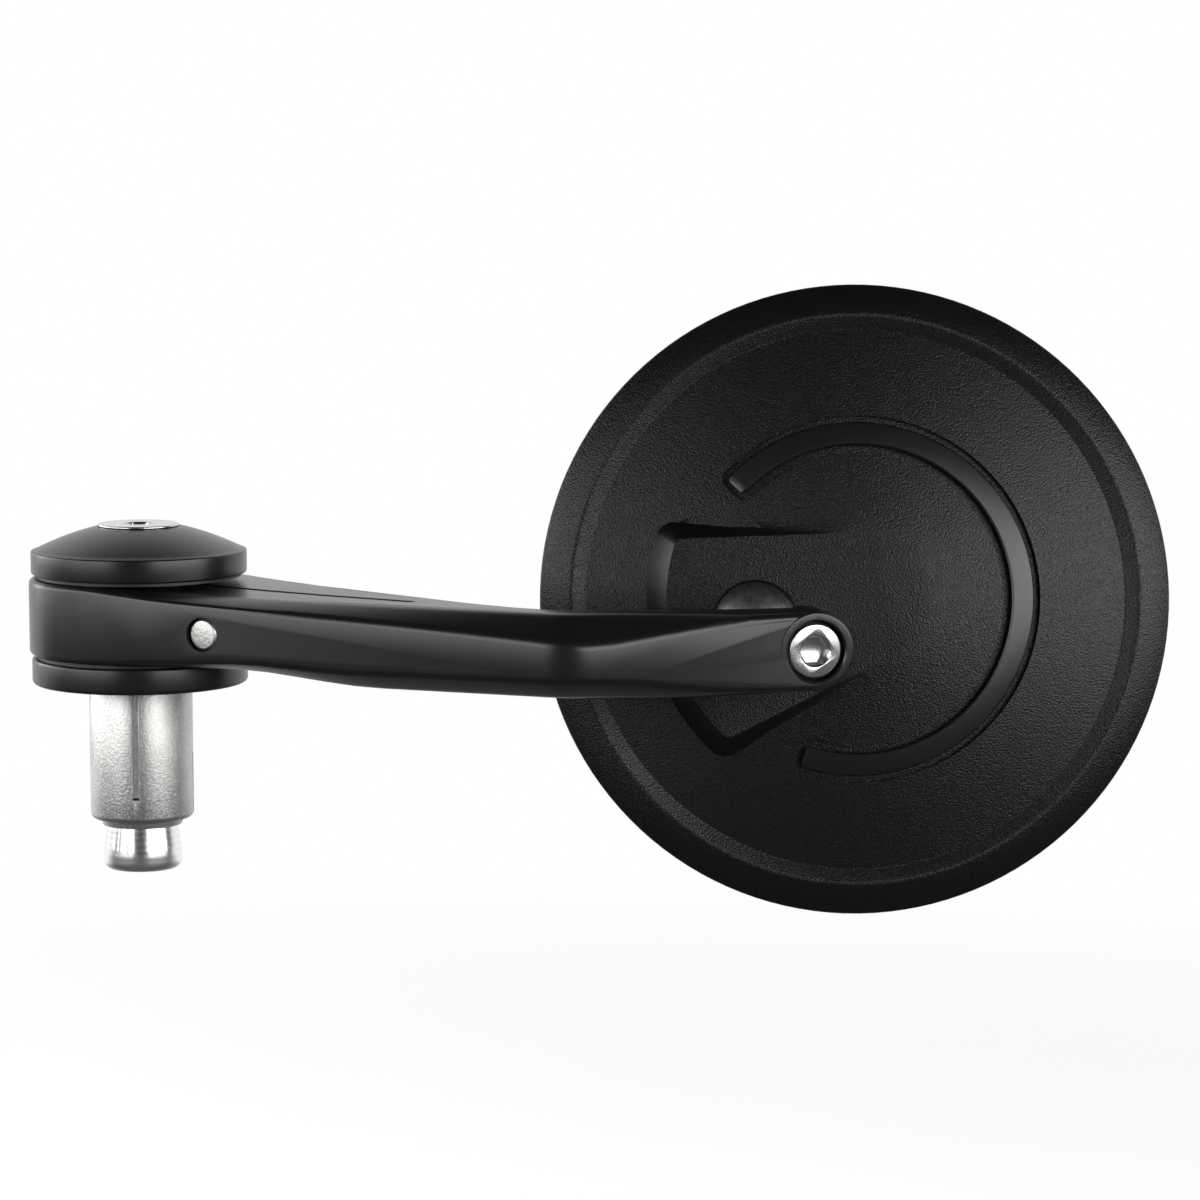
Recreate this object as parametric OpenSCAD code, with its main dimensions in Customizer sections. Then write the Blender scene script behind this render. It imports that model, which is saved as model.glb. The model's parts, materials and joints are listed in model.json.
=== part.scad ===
// Motorcycle bar end mirror: expanding bar plug, swivelling split arm and a round head on a ball stud.
// Millimetres. Z is the handlebar's axis and points out of the bar's end, with Z = 0 where the bar ends.
// The arm leaves the bar towards +X, the back of the head faces -Y and its glass faces +Y.

/* [Bar plug] */
// Outside diameter of the slotted sleeve that goes into the handlebar
sleeve_d = 15.9; // [15.4:0.1:18]
// Length of the slotted sleeve
sleeve_len = 22.2; // [20:0.1:30]
// Diameter of the sleeve's bore above its tapered mouth
sleeve_bore_d = 10.2; // [9.8:0.1:10.6]
// Width of the sleeve's slots
slot_w = 1; // [0.8:0.1:1.4]
// Solid length left below the two slots that are open at the top
slot_land = 4.8; // [3:0.1:7]
// Length of the two slots that are open at the mouth
mouth_slot = 11; // [10:0.1:14]
// Outside diameter of the turned-down lip at the sleeve's lower end
lip_d = 12.3; // [12.1:0.1:13]
// Height of the turned-down lip
lip_h = 1; // [0.6:0.1:2]
// Height of the cone nut's part that shows below the sleeve
nut_show = 6.9; // [6.4:0.1:8]
// Largest diameter of the cone nut
nut_d = 12.1; // [12:0.1:12.5]
// Distance that the cone nut climbs before its cone meets the sleeve
nut_travel = 1.5; // [0.8:0.1:2]

/* [Clamp stack] */
// Outside diameter of the flange and of the cap
flange_d = 33.1; // [32:0.1:38]
// Thickness of the flange that lies against the bar's end
flange_h = 4; // [3:0.1:6]
// Diameter of the spigot that the arm's hub turns on
spigot_d = 20; // [16:0.5:21]
// Thickness of the thin ring under the hub
lower_ring_h = 0.5; // [0.4:0.1:1]
// Thickness of the thin ring over the hub
upper_ring_h = 0.5; // [0.4:0.1:1]
// Height of the cap's straight wall
cap_wall_h = 3.6; // [2.5:0.1:5]
// Height of the cap's domed top above its wall
cap_dome_h = 3.6; // [3.2:0.1:5]
// Diameter of the central screw
bolt_d = 6; // [5.5:0.1:6.5]
// Diameter of the central screw's countersunk head
bolt_head_d = 12.5; // [12:0.1:13.5]
// Width across the flats of the central screw's socket
bolt_key = 4; // [3:0.5:5]

/* [Arm] */
// Outside diameter of the hub
hub_d = 33.8; // [33:0.1:38]
// Thickness of the hub and of the arm's plate
arm_h = 11.9; // [11.5:0.1:14]
// Angle by which the arm's first stretch leans forward
arm_lean = 20.5; // [14:0.5:24]
// Angle by which the arm's second stretch leans back
eye_lean = 16.4; // [10:0.2:22]
// Distance from the hub to the arm's bend, along its front face
bend_at = 76.8; // [72:0.2:90]
// Distance from the bend to the eye, along the front face
eye_at = 38.2; // [32:0.2:48]
// Radius of the front face at the bend
bend_r = 12; // [11:0.2:16]
// Depth of the arm, front to back, at the bend
bend_t = 8.6; // [8.2:0.1:10]
// Angle between the arm's front face and its straight back, from the hub towards the bend
taper = 22; // [18:0.5:24]
// Distance that the eye's axis lies below the hub's middle
eye_drop = 1.65; // [0:0.05:1.8]
// Angle by which the eye's axis dips outwards
eye_pitch = 1; // [0:0.1:2]
// Depth of the arm at the eye
eye_t = 7; // [6.8:0.1:8]
// Height of the upper front chamfer at the bend
chamfer_top = 4.1; // [2:0.1:4.4]
// Height of the lower front chamfer at the bend
chamfer_bottom = 2.8; // [1:0.1:3.2]
// Depth of both front chamfers
chamfer_depth = 4; // [2.5:0.1:5]
// Angle from the front face's square to the crease where it cuts the hub's round side
crease_at = 30; // [22:1:34]
// Angle by which the clamp slit runs forward
slit_lean = 28.5; // [24:0.5:30]
// Width of the clamp slit
slit_w = 1.6; // [1:0.1:2.4]
// Distance from the hub's axis to the end of the slit
slit_len = 48.6; // [44:0.2:52]
// Distance from the hub's axis to the clamp screw, along the slit
clamp_at = 21.1; // [20.5:0.1:24]
// Diameter of the clamp screw and of the eye screw
screw_d = 5; // [4.5:0.1:5.2]
// Diameter of both socket screws' heads
screw_head_d = 8.5; // [8:0.1:8.8]
// Height of both socket screws' heads
screw_head_h = 3.6; // [3.4:0.1:3.8]
// Width across the flats of both screws' sockets
screw_key = 4; // [3:0.5:4.5]
// Length of the clamp screw under its head
clamp_screw_len = 20; // [18:0.5:20]

/* [Ball joint] */
// Diameter of the ball
ball_d = 14.2; // [13.8:0.1:14.6]
// Distance from the arm's front face to the ball's centre
ball_reach = 28.2; // [26:0.2:33]
// Diameter of the stud's neck
neck_d = 6.6; // [5.8:0.1:7]
// Depth of the ball's centre under the top of the head's raised pad
ball_drop = 3; // [2.8:0.1:3.2]
// Wall of the plastic cup under the ball
cup_wall = 1.45; // [1:0.05:1.6]
// Thickness of the plate that closes the socket
plate_t = 1.2; // [1:0.1:1.6]

/* [Head] */
// Largest diameter of the housing
head_d = 97.2; // [97:0.2:108]
// Diameter of the mirror glass
glass_d = 94.4; // [93:0.2:94.6]
// Thickness of the mirror glass
glass_t = 1.8; // [1.6:0.1:2]
// Radius of the glass's convex face
glass_r = 1200; // [900:50:1800]
// Wall of the housing
shell_t = 2.2; // [1.8:0.1:2.6]
// Height of the housing from its rim to the raised pad's top
head_h = 16.5; // [16:0.1:20]
// Height of the housing's widest line above its rim
waist_h = 8.6; // [7:0.1:8.8]
// Height of the ridge between the bevel and the step
ridge_h = 11; // [10.6:0.1:11.6]
// Depth of the step inside the ridge
step_drop = 1; // [0.4:0.1:1.4]
// Distance from the head's centre to the ball's centre
ball_offset = 16.1; // [15:0.1:17.5]
// Tilt of the head about the X axis
head_tilt = 6.8; // [0:0.2:12]
// Turn of the head in its own plane
head_turn = 14.4; // [0:0.2:30]

/* [Trim arc] */
// Radius of the trim's inner edge
trim_r0 = 23.6; // [23.4:0.1:24.4]
// Width of the trim
trim_w = 3.5; // [2.4:0.1:4]
// Depth of the trim's channel
channel_deep = 1.3; // [0.8:0.1:1.6]
// Width of the gap that the channel leaves inside the trim
channel_gap = 1.3; // [0.6:0.1:1.6]
// Half of the angle that the trim leaves open towards the ball
trim_open = 57; // [50:0.2:70]

/* [Hidden] */
$fn = 72;

// Fits and small roundings
fit = 0.03;
slide = 0.05;
loose = 0.15;
edge = 0.5;
seam = 0.02;
relief = 0.3;

// Heights of the clamp stack
hub_z0 = flange_h + lower_ring_h;
hub_z1 = hub_z0 + arm_h;
hub_mid = (hub_z0 + hub_z1) / 2;
cap_z0 = hub_z1 + upper_ring_h;
cap_z1 = cap_z0 + cap_wall_h;
cap_z2 = cap_z1 + cap_dome_h;
bolt_r = bolt_d / 2;
bolt_head_r = bolt_head_d / 2;
bolt_top = cap_z2 + 0.4;
bolt_hole_r = bolt_r + 0.2;
cap_top_r = bolt_head_r + 0.1;
cap_bow = 0.32;

// Bar plug
sleeve_r = sleeve_d / 2;
sleeve_bore_r = sleeve_bore_d / 2;
mouth_z = -sleeve_len;
nut_cone_h = 4.4;
nut_mouth_r = lip_d / 2 - 0.65;
nut_slope = (nut_d / 2 - nut_mouth_r) / nut_cone_h;
mouth_gap = nut_slope * (nut_travel + 0.2);
mouth_r = nut_mouth_r + mouth_gap;
taper_h = (mouth_r - sleeve_bore_r) / nut_slope;
nut_guide_r = nut_mouth_r - nut_slope * taper_h;
nut_top = mouth_z + taper_h + 5;
key_z0 = mouth_z + 4.5;
key_h = 3;
key_w = slot_w - 0.2;
key_r = sleeve_r - 1.2;
pilot_r = sleeve_bore_r - slide;
pilot_h = 4.5;
bolt_end = mouth_z - nut_show + 3;

// Arm
hub_r = hub_d / 2;
spigot_r = spigot_d / 2;
hub_bore_r = spigot_r + fit;
bend_turn = arm_lean + eye_lean;
bend_cut = bend_r * tan(bend_turn / 2);
bend_s0 = bend_at - bend_cut;
bend_len = bend_r * bend_turn * PI / 180;
bend_mid = bend_s0 + bend_len / 2;
bend_s1 = bend_s0 + bend_len;
arm_s = bend_s1 + eye_at - bend_cut;
eye_r = 5.95;
washer_t = 0.6;
counterbore_r = screw_head_d / 2 + 0.25;
counterbore_h = screw_head_h + washer_t + 0.5;
taper_s = hub_r * sin(taper);
crease_s = hub_r * sin(crease_at);
crease_d = hub_r * (1 - cos(crease_at));
fall_s = max(hub_r, flange_d / 2) + 5;
clamp_z = hub_mid - 0.4;
clamp_front = (hub_r - clamp_at * sin(slit_lean - arm_lean)) / cos(slit_lean - arm_lean);
clamp_seat = 0.2 + clamp_screw_len;
screw_r = screw_d / 2;
screw_head_r = screw_head_d / 2;

// Ball joint
ball_r = ball_d / 2;
neck_r = neck_d / 2;
seat_r = ball_r + slide;
cup_r = seat_r + cup_wall;
dish_r = cup_r + slide;
cup_top = -2.5;
cup_bottom = -0.93 * ball_r;
ring_top = -4;
ring_bottom = cup_bottom - 0.8;
ring_r = cup_r + 0.6;
socket_r = ring_r + 0.1;
spring_h = 1.4;
spring_t = 0.5;
spring_hole_r = max(0.6 * ball_r, sqrt(max(0, cup_r * cup_r - pow(ring_bottom + 0.2, 2))));
socket_bottom = ring_bottom - spring_h;
collar_r = 4.6;
collar_h = 2;
stud_end = ball_reach - eye_t - seam;
screw_seat = ball_reach - counterbore_h;
pivot_screw_len = screw_seat - stud_end + washer_t + 8;

// Head
head_r = head_d / 2;
glass_rad = glass_d / 2;
rebate_r = glass_rad + loose;
glass_edge_z = 0.4;
shoulder_z = glass_edge_z + glass_t + 1.1;
shoulder_r = rebate_r - 1.75;
ridge_r = head_r - 4.8;
foot_r = ridge_r - 2.3;
foot_z = ridge_h - step_drop;
flat_r = 10.5;
dome_bow = 0.5;
ball_z = head_h - ball_drop;
lip_r = 0.943 * ball_r;
post_at = 15;
post_r = 2.8;
plate_r = post_at + 2.8;
plate_screw_r = 1.1;
plate_screw_len = 5;

// Raised pad of the housing
pad_r = 29.2;
pad_side = 15.25;
pad_side_at = 22.3;
pad_taper = 12.3;
pad_corner = 1.3;
pad_draft = 0.72;
pad_soft = 0.35;
pad_base = foot_z + 1.4;

// Trim
trim_r1 = trim_r0 + trim_w;
channel_r0 = trim_r0 - channel_gap;
channel_r1 = trim_r1 + 0.8 * channel_gap;
channel_open = trim_open - 2.3;
channel_z = foot_z / 2;

// The ball's centre, at the end of its reach behind the eye
eye_dir = [sin(eye_lean) * cos(eye_pitch), -cos(eye_lean) * cos(eye_pitch), -sin(eye_pitch)];
eye_at_front = concat(front_point(arm_s), [hub_mid - eye_drop]);
ball_c = eye_at_front - ball_reach * eye_dir;

// Yaw of the arm's front face at a distance s along it
function arm_yaw(s) = s < bend_s0 ? -arm_lean
  : s > bend_s1 ? eye_lean
  : -arm_lean + (s - bend_s0) / bend_r * 180 / PI;
function along(a) = [cos(a), sin(a)];
function inward(a) = [-sin(a), cos(a)];

// A point of the arm's front face, seen from above
function front_point(s) = s <= bend_s0 ? -hub_r * inward(-arm_lean) + s * along(-arm_lean)
  : s <= bend_s1 ? bend_centre() - bend_r * inward(arm_yaw(s))
  : bend_centre() - bend_r * inward(eye_lean) + (s - bend_s1) * along(eye_lean);
function bend_centre() = (bend_r - hub_r) * inward(-arm_lean) + bend_s0 * along(-arm_lean);

// The arm's outline as depths behind its front face at s, which is below 0 on the hub's far side
function smooth(a, b, x) = let (u = min(1, max(0, (x - a) / (b - a)))) u * u * (3 - 2 * u);
function hub_half(s) = sqrt(max(0, hub_r * hub_r - s * s));
function taper_t(s) = hub_r + (hub_r - s * sin(taper)) / cos(taper);
function front_of(s) = s >= 0 ? 0
  : s < -crease_s - 0.01 ? hub_r - hub_half(s)
  : crease_d * pow(-s / crease_s, 1.4);
function back_of(s) = s < taper_s ? hub_r + hub_half(s)
  : s < bend_s1 ? soft_max(taper_t(s), bend_t, 2.5)
  : bend_t + (eye_t - seam - bend_t) * smooth(bend_s1, arm_s - 6, s);

// Directions that point into the arm from its front and back outlines, as distance along and depth
function unit(v) = v / norm(v);
function front_in(s) = s < 0 ? [-s, hub_half(s)] / hub_r : [0, 1];
function back_in(s) = s < taper_s ? [-s, -hub_half(s)] / hub_r
  : unit([10 * (back_of(s + 0.05) - back_of(s - 0.05)), -1]);

// Heights of the arm's top and bottom, which leave the hub's level and settle towards the eye
function arm_top(s) = hub_z1 - 0.11 * arm_h * (1 - exp(-max(0, s) / 14))
  - 0.04 * arm_h * smooth(bend_mid, arm_s, s);
function arm_bottom(s) = hub_z0 - 0.15 * arm_h * smooth(fall_s, 0.6 * bend_at, s)
  - 0.03 * arm_h * smooth(bend_mid, bend_mid + 20, s) + 0.045 * arm_h * smooth(bend_mid + 20, arm_s - 2, s);

// The two front chamfers grow from the hub to the bend and fade before the eye
function after_bend(s) = max(0, s - bend_s1 - 2);
function top_fade(s) = min(1, pow(max(0, s) / (bend_s1 - 1.5), 1.9)) * max(0, 1 - after_bend(s) / 21);
function bottom_fade(s) = smooth(0, 0.73 * bend_at, s) * (1 - smooth(bend_mid + 6, arm_s - 6, s));
function depth_fade(s) = smooth(0, 25, s) * max(0, 1 - after_bend(s) / 30);
function chamfer_hi(s) = edge + 0.1 + (chamfer_top - edge - 0.1) * top_fade(s);
function chamfer_lo(s) = edge + (chamfer_bottom - edge) * bottom_fade(s);
function chamfer_in(s) = edge + 0.1 + (chamfer_depth - edge - 0.1) * depth_fade(s);

// A corner b between a and c, rounded by n points that start and end q away from it
function rounded(a, b, c, q, n = 4) =
  let (k = min(q, 0.45 * norm(a - b), 0.45 * norm(c - b)), p = b + k * unit(a - b), r = b + k * unit(c - b))
  [for (i = [0 : n - 1]) let (u = i / (n - 1)) (1 - u) * (1 - u) * p + 2 * u * (1 - u) * b + u * u * r];

// Points of the arm's section at s, placed from its outline f along the direction g that leads into it
function placed(s, f, g, points) =
  let (e = along(arm_yaw(s)), n = inward(arm_yaw(s)), o = front_point(s) + f * n, i = g[0] * e + g[1] * n)
  [for (p = points) [o[0] + p[0] * i[0], o[1] + p[0] * i[1], p[1]]];
function arm_ring(s) =
  let (z0 = arm_bottom(s), z1 = arm_top(s), q = edge + 0.4 * smooth(0, 30, s), d = chamfer_in(s),
    low = [0, z0 + chamfer_lo(s)], foot = [d, z0], brow = [d, z1], high = [0, z1 - chamfer_hi(s)])
  concat(
    placed(s, front_of(s), front_in(s),
      concat(rounded(high, low, foot, 0.8), rounded(low, foot, [d + 4, z0], 0.9))),
    placed(s, back_of(s), back_in(s),
      concat(rounded([4, z0], [0, z0], [0, z1], q), rounded([0, z0], [0, z1], [4, z1], q))),
    placed(s, front_of(s), front_in(s),
      concat(rounded([d + 4, z1], brow, high, 0.9), rounded(brow, high, low, 0.9))));
arm_stations = concat(
  [for (i = [0 : 8]) -hub_r * cos(2 + i * (88 - crease_at) / 8)],
  [for (i = [1 : 4]) -hub_r * cos(90 - crease_at + i * (crease_at - 1) / 4)],
  [for (i = [1 : 15]) i * (bend_s0 - 3) / 15],
  [for (i = [0 : 8]) bend_s0 + i * bend_len / 8],
  [for (i = [1 : 10]) bend_s1 + i * (arm_s - bend_s1) / 10]);

// A skin over m rings of n points, each end closed by strips between its two halves
module skin(rings) {
  n = len(rings[0]);
  m = len(rings);
  q = (m - 1) * n;
  polyhedron(
    points = [for (r = rings) each r],
    faces = concat(
      [for (i = [0 : n / 2 - 2]) each [[i, i + 1, n - 1 - i], [i + 1, n - 2 - i, n - 1 - i]]],
      [for (k = [0 : m - 2]) for (i = [0 : n - 1])
        let (a = k * n + i, b = k * n + (i + 1) % n) each [[a, a + n, b], [b, a + n, b + n]]],
      [for (i = [0 : n / 2 - 2])
        let (a = q + i, b = q + n - 1 - i) each [[a, b, a + 1], [a + 1, b, b - 1]]]),
    convexity = 6);
}

// Round of n steps about c, from angle a0 to a1
function arc(c, r, a0, a1, n = 5) = [for (i = [0 : n]) c + r * along(a0 + (a1 - a0) * i / n)];
function bowed(a, b, bow, n = 8) =
  [for (i = [0 : n]) let (k = i / n) a + (b - a) * k + [0, 4 * bow * k * (1 - k)]];

module at_eye() {
  translate(eye_at_front) rotate([0, 0, eye_lean]) rotate([90 + eye_pitch, 0, 0]) children();
}

module at_ball() {
  translate(ball_c) rotate([0, 0, eye_lean]) rotate([90 + eye_pitch, 0, 0]) children();
}

// Where the clamp screw comes out of the front face, looking along the screw to its head
module at_clamp() {
  rotate([0, 0, -slit_lean]) translate([clamp_at, -clamp_front, clamp_z]) rotate([-90, 0, 0]) children();
}

module at_head() {
  translate(ball_c) rotate([90 - head_tilt, 0, 0]) rotate([0, 0, head_turn]) translate([ball_offset, 0, -ball_z])
    children();
}

module at_socket() {
  at_head() translate([-ball_offset, 0, ball_z]) children();
}

module hex_hole(key, h) {
  cylinder(h = h, r = key / sqrt(3), $fn = 6);
}

// Bar plug

module expander_sleeve() {
  color("silver") difference() {
    rotate_extrude() polygon(concat(
      [[sleeve_bore_r, 0], [sleeve_r, 0]],
      arc([sleeve_r - 0.9, mouth_z + lip_h + 0.9], 0.9, 0, -90),
      [[lip_d / 2, mouth_z + lip_h], [lip_d / 2, mouth_z], [mouth_r, mouth_z]],
      [[sleeve_bore_r, mouth_z + taper_h]]));
    translate([-slot_w / 2, -sleeve_d, slot_land - sleeve_len]) cube([slot_w, 2 * sleeve_d, sleeve_len]);
    translate([-sleeve_d, -slot_w / 2, mouth_z - 1]) cube([2 * sleeve_d, slot_w, mouth_slot + 1]);
  }
}

module cone_nut() {
  color("gainsboro") {
    difference() {
      rotate_extrude() polygon(concat(
        [[bolt_r + slide, mouth_z - nut_show], [nut_d / 2 - 1.4, mouth_z - nut_show]],
        arc([nut_d / 2 - 1.2, mouth_z - nut_show + 1.2], 1.2, -70, -5),
        [[nut_d / 2, mouth_z - nut_cone_h], [nut_guide_r, mouth_z + taper_h], [nut_guide_r, nut_top - 0.5],
          [nut_guide_r - 0.5, nut_top], [bolt_r + slide, nut_top]]));
    }
    for (side = [0, 180]) rotate([0, 0, side])
      translate([nut_guide_r - 0.2, -key_w / 2, key_z0]) cube([key_r - nut_guide_r + 0.2, key_w, key_h]);
  }
}

module expander_screw() {
  color("gainsboro") difference() {
    rotate_extrude() polygon([
      [0, bolt_end - 0.8], [bolt_r - 0.8, bolt_end - 0.8], [bolt_r, bolt_end],
      [bolt_r, bolt_top - 0.3 - (bolt_head_r - bolt_r)], [bolt_head_r, bolt_top - 0.3],
      [bolt_head_r, bolt_top - 0.12], [bolt_head_r - 0.15, bolt_top], [0, bolt_top]]);
    translate([0, 0, bolt_top - 2.4]) hex_hole(bolt_key, 3);
    translate([0, 0, bolt_top - 0.35]) cylinder(h = 0.5, r1 = bolt_key / 2, r2 = bolt_key / 2 + 0.5);
  }
}

// Clamp stack

module flange_spigot() {
  color("dimgray") rotate_extrude() polygon(concat(
    [[bolt_hole_r, -pilot_h], [pilot_r - 0.4, -pilot_h], [pilot_r, 0.4 - pilot_h], [pilot_r, relief]],
    [[sleeve_r + relief, relief], [sleeve_r + relief, 0]],
    arc([flange_d / 2 - 0.6, 0.6], 0.6, -90, 0),
    arc([flange_d / 2 - 0.4, flange_h - 0.4], 0.4, 0, 90),
    [[spigot_r, flange_h], [spigot_r, cap_z0 - 0.3], [spigot_r - 0.3, cap_z0], [bolt_hole_r, cap_z0]]));
}

module slip_ring(h) {
  difference() {
    cylinder(h = h, r = flange_d / 2 - 0.9);
    translate([0, 0, -1]) cylinder(h = h + 2, r = hub_bore_r);
  }
}

module lower_slip_ring() {
  color("black") translate([0, 0, flange_h]) slip_ring(lower_ring_h);
}

module upper_slip_ring() {
  color("black") translate([0, 0, hub_z1]) slip_ring(upper_ring_h);
}

module top_cap() {
  sink = cap_top_r - bolt_hole_r;
  color("dimgray") rotate_extrude() polygon(concat(
    [[bolt_hole_r, cap_z0]],
    arc([flange_d / 2 - 0.4, cap_z0 + 0.4], 0.4, -90, 0, 4),
    arc([flange_d / 2 - 0.3, cap_z1 - 0.3], 0.3, 0, 65, 4),
    bowed([flange_d / 2 - 0.5, cap_z1 + 0.05], [cap_top_r + 0.1, cap_z2], cap_bow),
    [[cap_top_r, cap_z2], [bolt_hole_r, cap_z2 - sink]]));
}

// Arm

module arm() {
  color("dimgray") difference() {
    union() {
      skin([for (s = arm_stations) arm_ring(s)]);
      at_eye() translate([0, 0, -eye_t]) rotate_extrude() polygon(concat(
        [[0, 0]], arc([eye_r - edge, edge], edge, -90, 0),
        arc([eye_r - edge, eye_t + seam - edge], edge, 0, 90), [[0, eye_t + seam]]));
    }
    translate([0, 0, hub_z0 - 1]) cylinder(h = arm_h + 2, r = hub_bore_r);
    rotate([0, 0, -slit_lean]) {
      translate([0, -slit_w / 2, hub_z0 - 1]) cube([slit_len, slit_w, arm_h + 2]);
      translate([slit_len, 0, hub_z0 - 1]) cylinder(h = arm_h + 2, r = slit_w / 2 + 0.01);
    }
    at_clamp() {
      translate([0, 0, -3]) cylinder(h = hub_d + 10, r = screw_r + slide);
      translate([0, 0, clamp_seat]) cylinder(h = hub_d, r = screw_head_r + 0.3);
    }
    at_eye() {
      translate([0, 0, -eye_t - 1]) cylinder(h = eye_t + 2, r = screw_r + 0.2);
      translate([0, 0, -counterbore_h]) cylinder(h = counterbore_h + 1, r = counterbore_r);
      translate([0, 0, seam - 0.25])
        cylinder(h = 0.35, r1 = counterbore_r - 0.02, r2 = counterbore_r + 0.33);
    }
  }
}

// A socket-head screw whose head sits on z = 0 and whose shank goes down
module socket_screw(shank) {
  difference() {
    rotate_extrude() polygon([
      [0, -shank], [screw_r - 0.45, -shank], [screw_r, 0.45 - shank], [screw_r, 0], [screw_head_r, 0],
      [screw_head_r, screw_head_h - 0.4], [screw_head_r - 0.4, screw_head_h], [0, screw_head_h]]);
    translate([0, 0, screw_head_h - 2.6]) hex_hole(screw_key, 3);
    translate([0, 0, screw_head_h - 0.4])
      cylinder(h = 0.5, r1 = screw_key / 2 - 0.02, r2 = screw_key / 2 + 0.56);
  }
}

module clamp_screw() {
  color("silver") at_clamp() translate([0, 0, clamp_seat]) socket_screw(clamp_screw_len);
}

module pivot_screw() {
  color("silver") at_ball() translate([0, 0, screw_seat + washer_t]) socket_screw(pivot_screw_len);
}

module lock_washer() {
  color("silver") at_ball() translate([0, 0, screw_seat]) difference() {
    cylinder(h = washer_t, r = screw_head_r);
    translate([0, 0, -1]) cylinder(h = washer_t + 2, r = screw_r + slide);
    translate([0, -0.4, -1]) cube([screw_head_d, 0.8, washer_t + 2]);
  }
}

// Ball joint

module ball_stud() {
  color("gray") at_ball() difference() {
    union() {
      sphere(r = ball_r, $fn = 72);
      cylinder(h = stud_end, r = neck_r);
      translate([0, 0, stud_end - collar_h]) cylinder(h = collar_h, r = collar_r);
      translate([0, 0, stud_end - collar_h - 1.2])
        cylinder(h = 1.21, r1 = neck_r + 0.01, r2 = collar_r - 0.1);
    }
    translate([0, 0, screw_seat + washer_t - pivot_screw_len - 1]) cylinder(h = 20, r = screw_r + slide);
    translate([0, 0, -2 * ball_r]) cylinder(h = ball_r + 0.35, r = ball_r);
  }
}

module ball_cup() {
  color("ivory") at_socket() intersection() {
    difference() {
      sphere(r = cup_r, $fn = 72);
      sphere(r = seat_r, $fn = 72);
    }
    translate([0, 0, cup_bottom]) cylinder(h = cup_top - cup_bottom, r = cup_r + 1);
  }
}

module thrust_ring() {
  color("silver") at_socket() difference() {
    translate([0, 0, ring_bottom]) cylinder(h = ring_top - ring_bottom, r = ring_r);
    sphere(r = dish_r, $fn = 72);
    translate([0, 0, ring_bottom - 1]) cylinder(h = 20, r = 0.5 * ball_r);
  }
}

module disc_spring() {
  color("silver") at_socket() rotate_extrude() polygon([
    [spring_hole_r, ring_bottom], [spring_hole_r, ring_bottom - spring_t],
    [ring_r - 0.3, socket_bottom], [ring_r - 0.3, socket_bottom + spring_t]]);
}

module plate_spots() {
  for (a = [60, 180, 300]) rotate([0, 0, a]) translate([post_at, 0, socket_bottom]) children();
}

module socket_plate() {
  color("silver") at_socket() difference() {
    translate([0, 0, socket_bottom - plate_t]) cylinder(h = plate_t, r = plate_r);
    translate([0, 0, socket_bottom - plate_t - 1]) cylinder(h = plate_t + 2, r = 0.5 * ball_r);
    plate_spots() {
      translate([0, 0, -plate_t - 1]) cylinder(h = plate_t + 2, r = plate_screw_r + 0.2);
      translate([0, 0, -plate_t - 0.01])
        cylinder(h = plate_t, r1 = plate_screw_r + 1.25, r2 = plate_screw_r + 0.05);
    }
  }
}

module plate_screws() {
  color("gray") at_socket() plate_spots() difference() {
    rotate_extrude() polygon([
      [0, plate_screw_len], [plate_screw_r - 0.5, plate_screw_len], [plate_screw_r, plate_screw_len - 1],
      [plate_screw_r, 0.05],
      [plate_screw_r + 1.1, 0.05 - plate_t], [0, 0.05 - plate_t]]);
    translate([0, 0, -plate_t - 0.5]) hex_hole(1.4, 1.4);
  }
}

// Head

// Distance of the plate's post at angle a from the head's centre
function post_reach(a) = norm([post_at * cos(a) - ball_offset, post_at * sin(a)]);

// Height of the domed back at radius r, above the plane of the rim
function dome_k(r) = (foot_r - r) / (foot_r - flat_r);
function dome_z(r) = r < flat_r ? head_h - seam
  : foot_z + (head_h - seam - foot_z) * dome_k(r) + 4 * dome_bow * dome_k(r) * (1 - dome_k(r));

// The raised pad's outline, grown outwards by w: two tapering sides, two round corners and a round end
function pad_normal() = [sin(pad_taper), cos(pad_taper)];
function pad_line(w) = [-pad_side_at, pad_side] * pad_normal() + w;
function pad_round(w) = pad_corner + 0.7 * max(0, w);
function pad_centre(w) =
  let (h = pad_line(w) - pad_round(w), n = pad_normal(), e = [-n[1], n[0]], q = pad_r + w - pad_round(w))
  h * n + sqrt(q * q - h * h) * e;
function pad_half(w) =
  let (c = pad_centre(w), n = pad_normal(), r = pad_round(w), a0 = atan2(n[1], n[0]), a1 = atan2(c[1], c[0]))
  concat(
    [for (i = [0 : 5]) let (x = 4 - i * 4.2) [x, (pad_line(w) - x * n[0]) / n[1]]],
    [for (i = [0 : 6]) c + r * along(a0 + (a1 - a0) * i / 6)],
    [for (i = [1 : 6]) (pad_r + w) * along(a1 + (180 - a1) * i / 6.5)]);
function pad_outline(w) =
  let (h = pad_half(w)) concat(h, [for (i = [len(h) - 1 : -1 : 0]) [h[i][0], -h[i][1]]]);
function soft_max(a, b, e) = (a + b + sqrt((a - b) * (a - b) + e * e)) / 2;
function soft_min(a, b, e) = (a + b - sqrt((a - b) * (a - b) + e * e)) / 2;
function pad_foot(p, w) = dome_z(norm(p)) - 0.25 * max(0, w - 0.2);
function pad_wall(p, w) = soft_max(head_h - w / pad_draft, pad_foot(p, w), pad_soft);
function pad_z(p, w) = soft_min(head_h + 0.02, pad_wall(p, w), 0.12);
function pad_ring(w) = [for (p = pad_outline(w)) [p[0], p[1], pad_z(p, w)]];
pad_steps = [4.6, 3.4, 2.6, 1.9, 0.35, 0, -0.5];

module housing_pad() {
  skin(concat(
    [[for (p = pad_outline(5.3)) [p[0], p[1], pad_base]]],
    [for (w = pad_steps) pad_ring(w)]));
}

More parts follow.
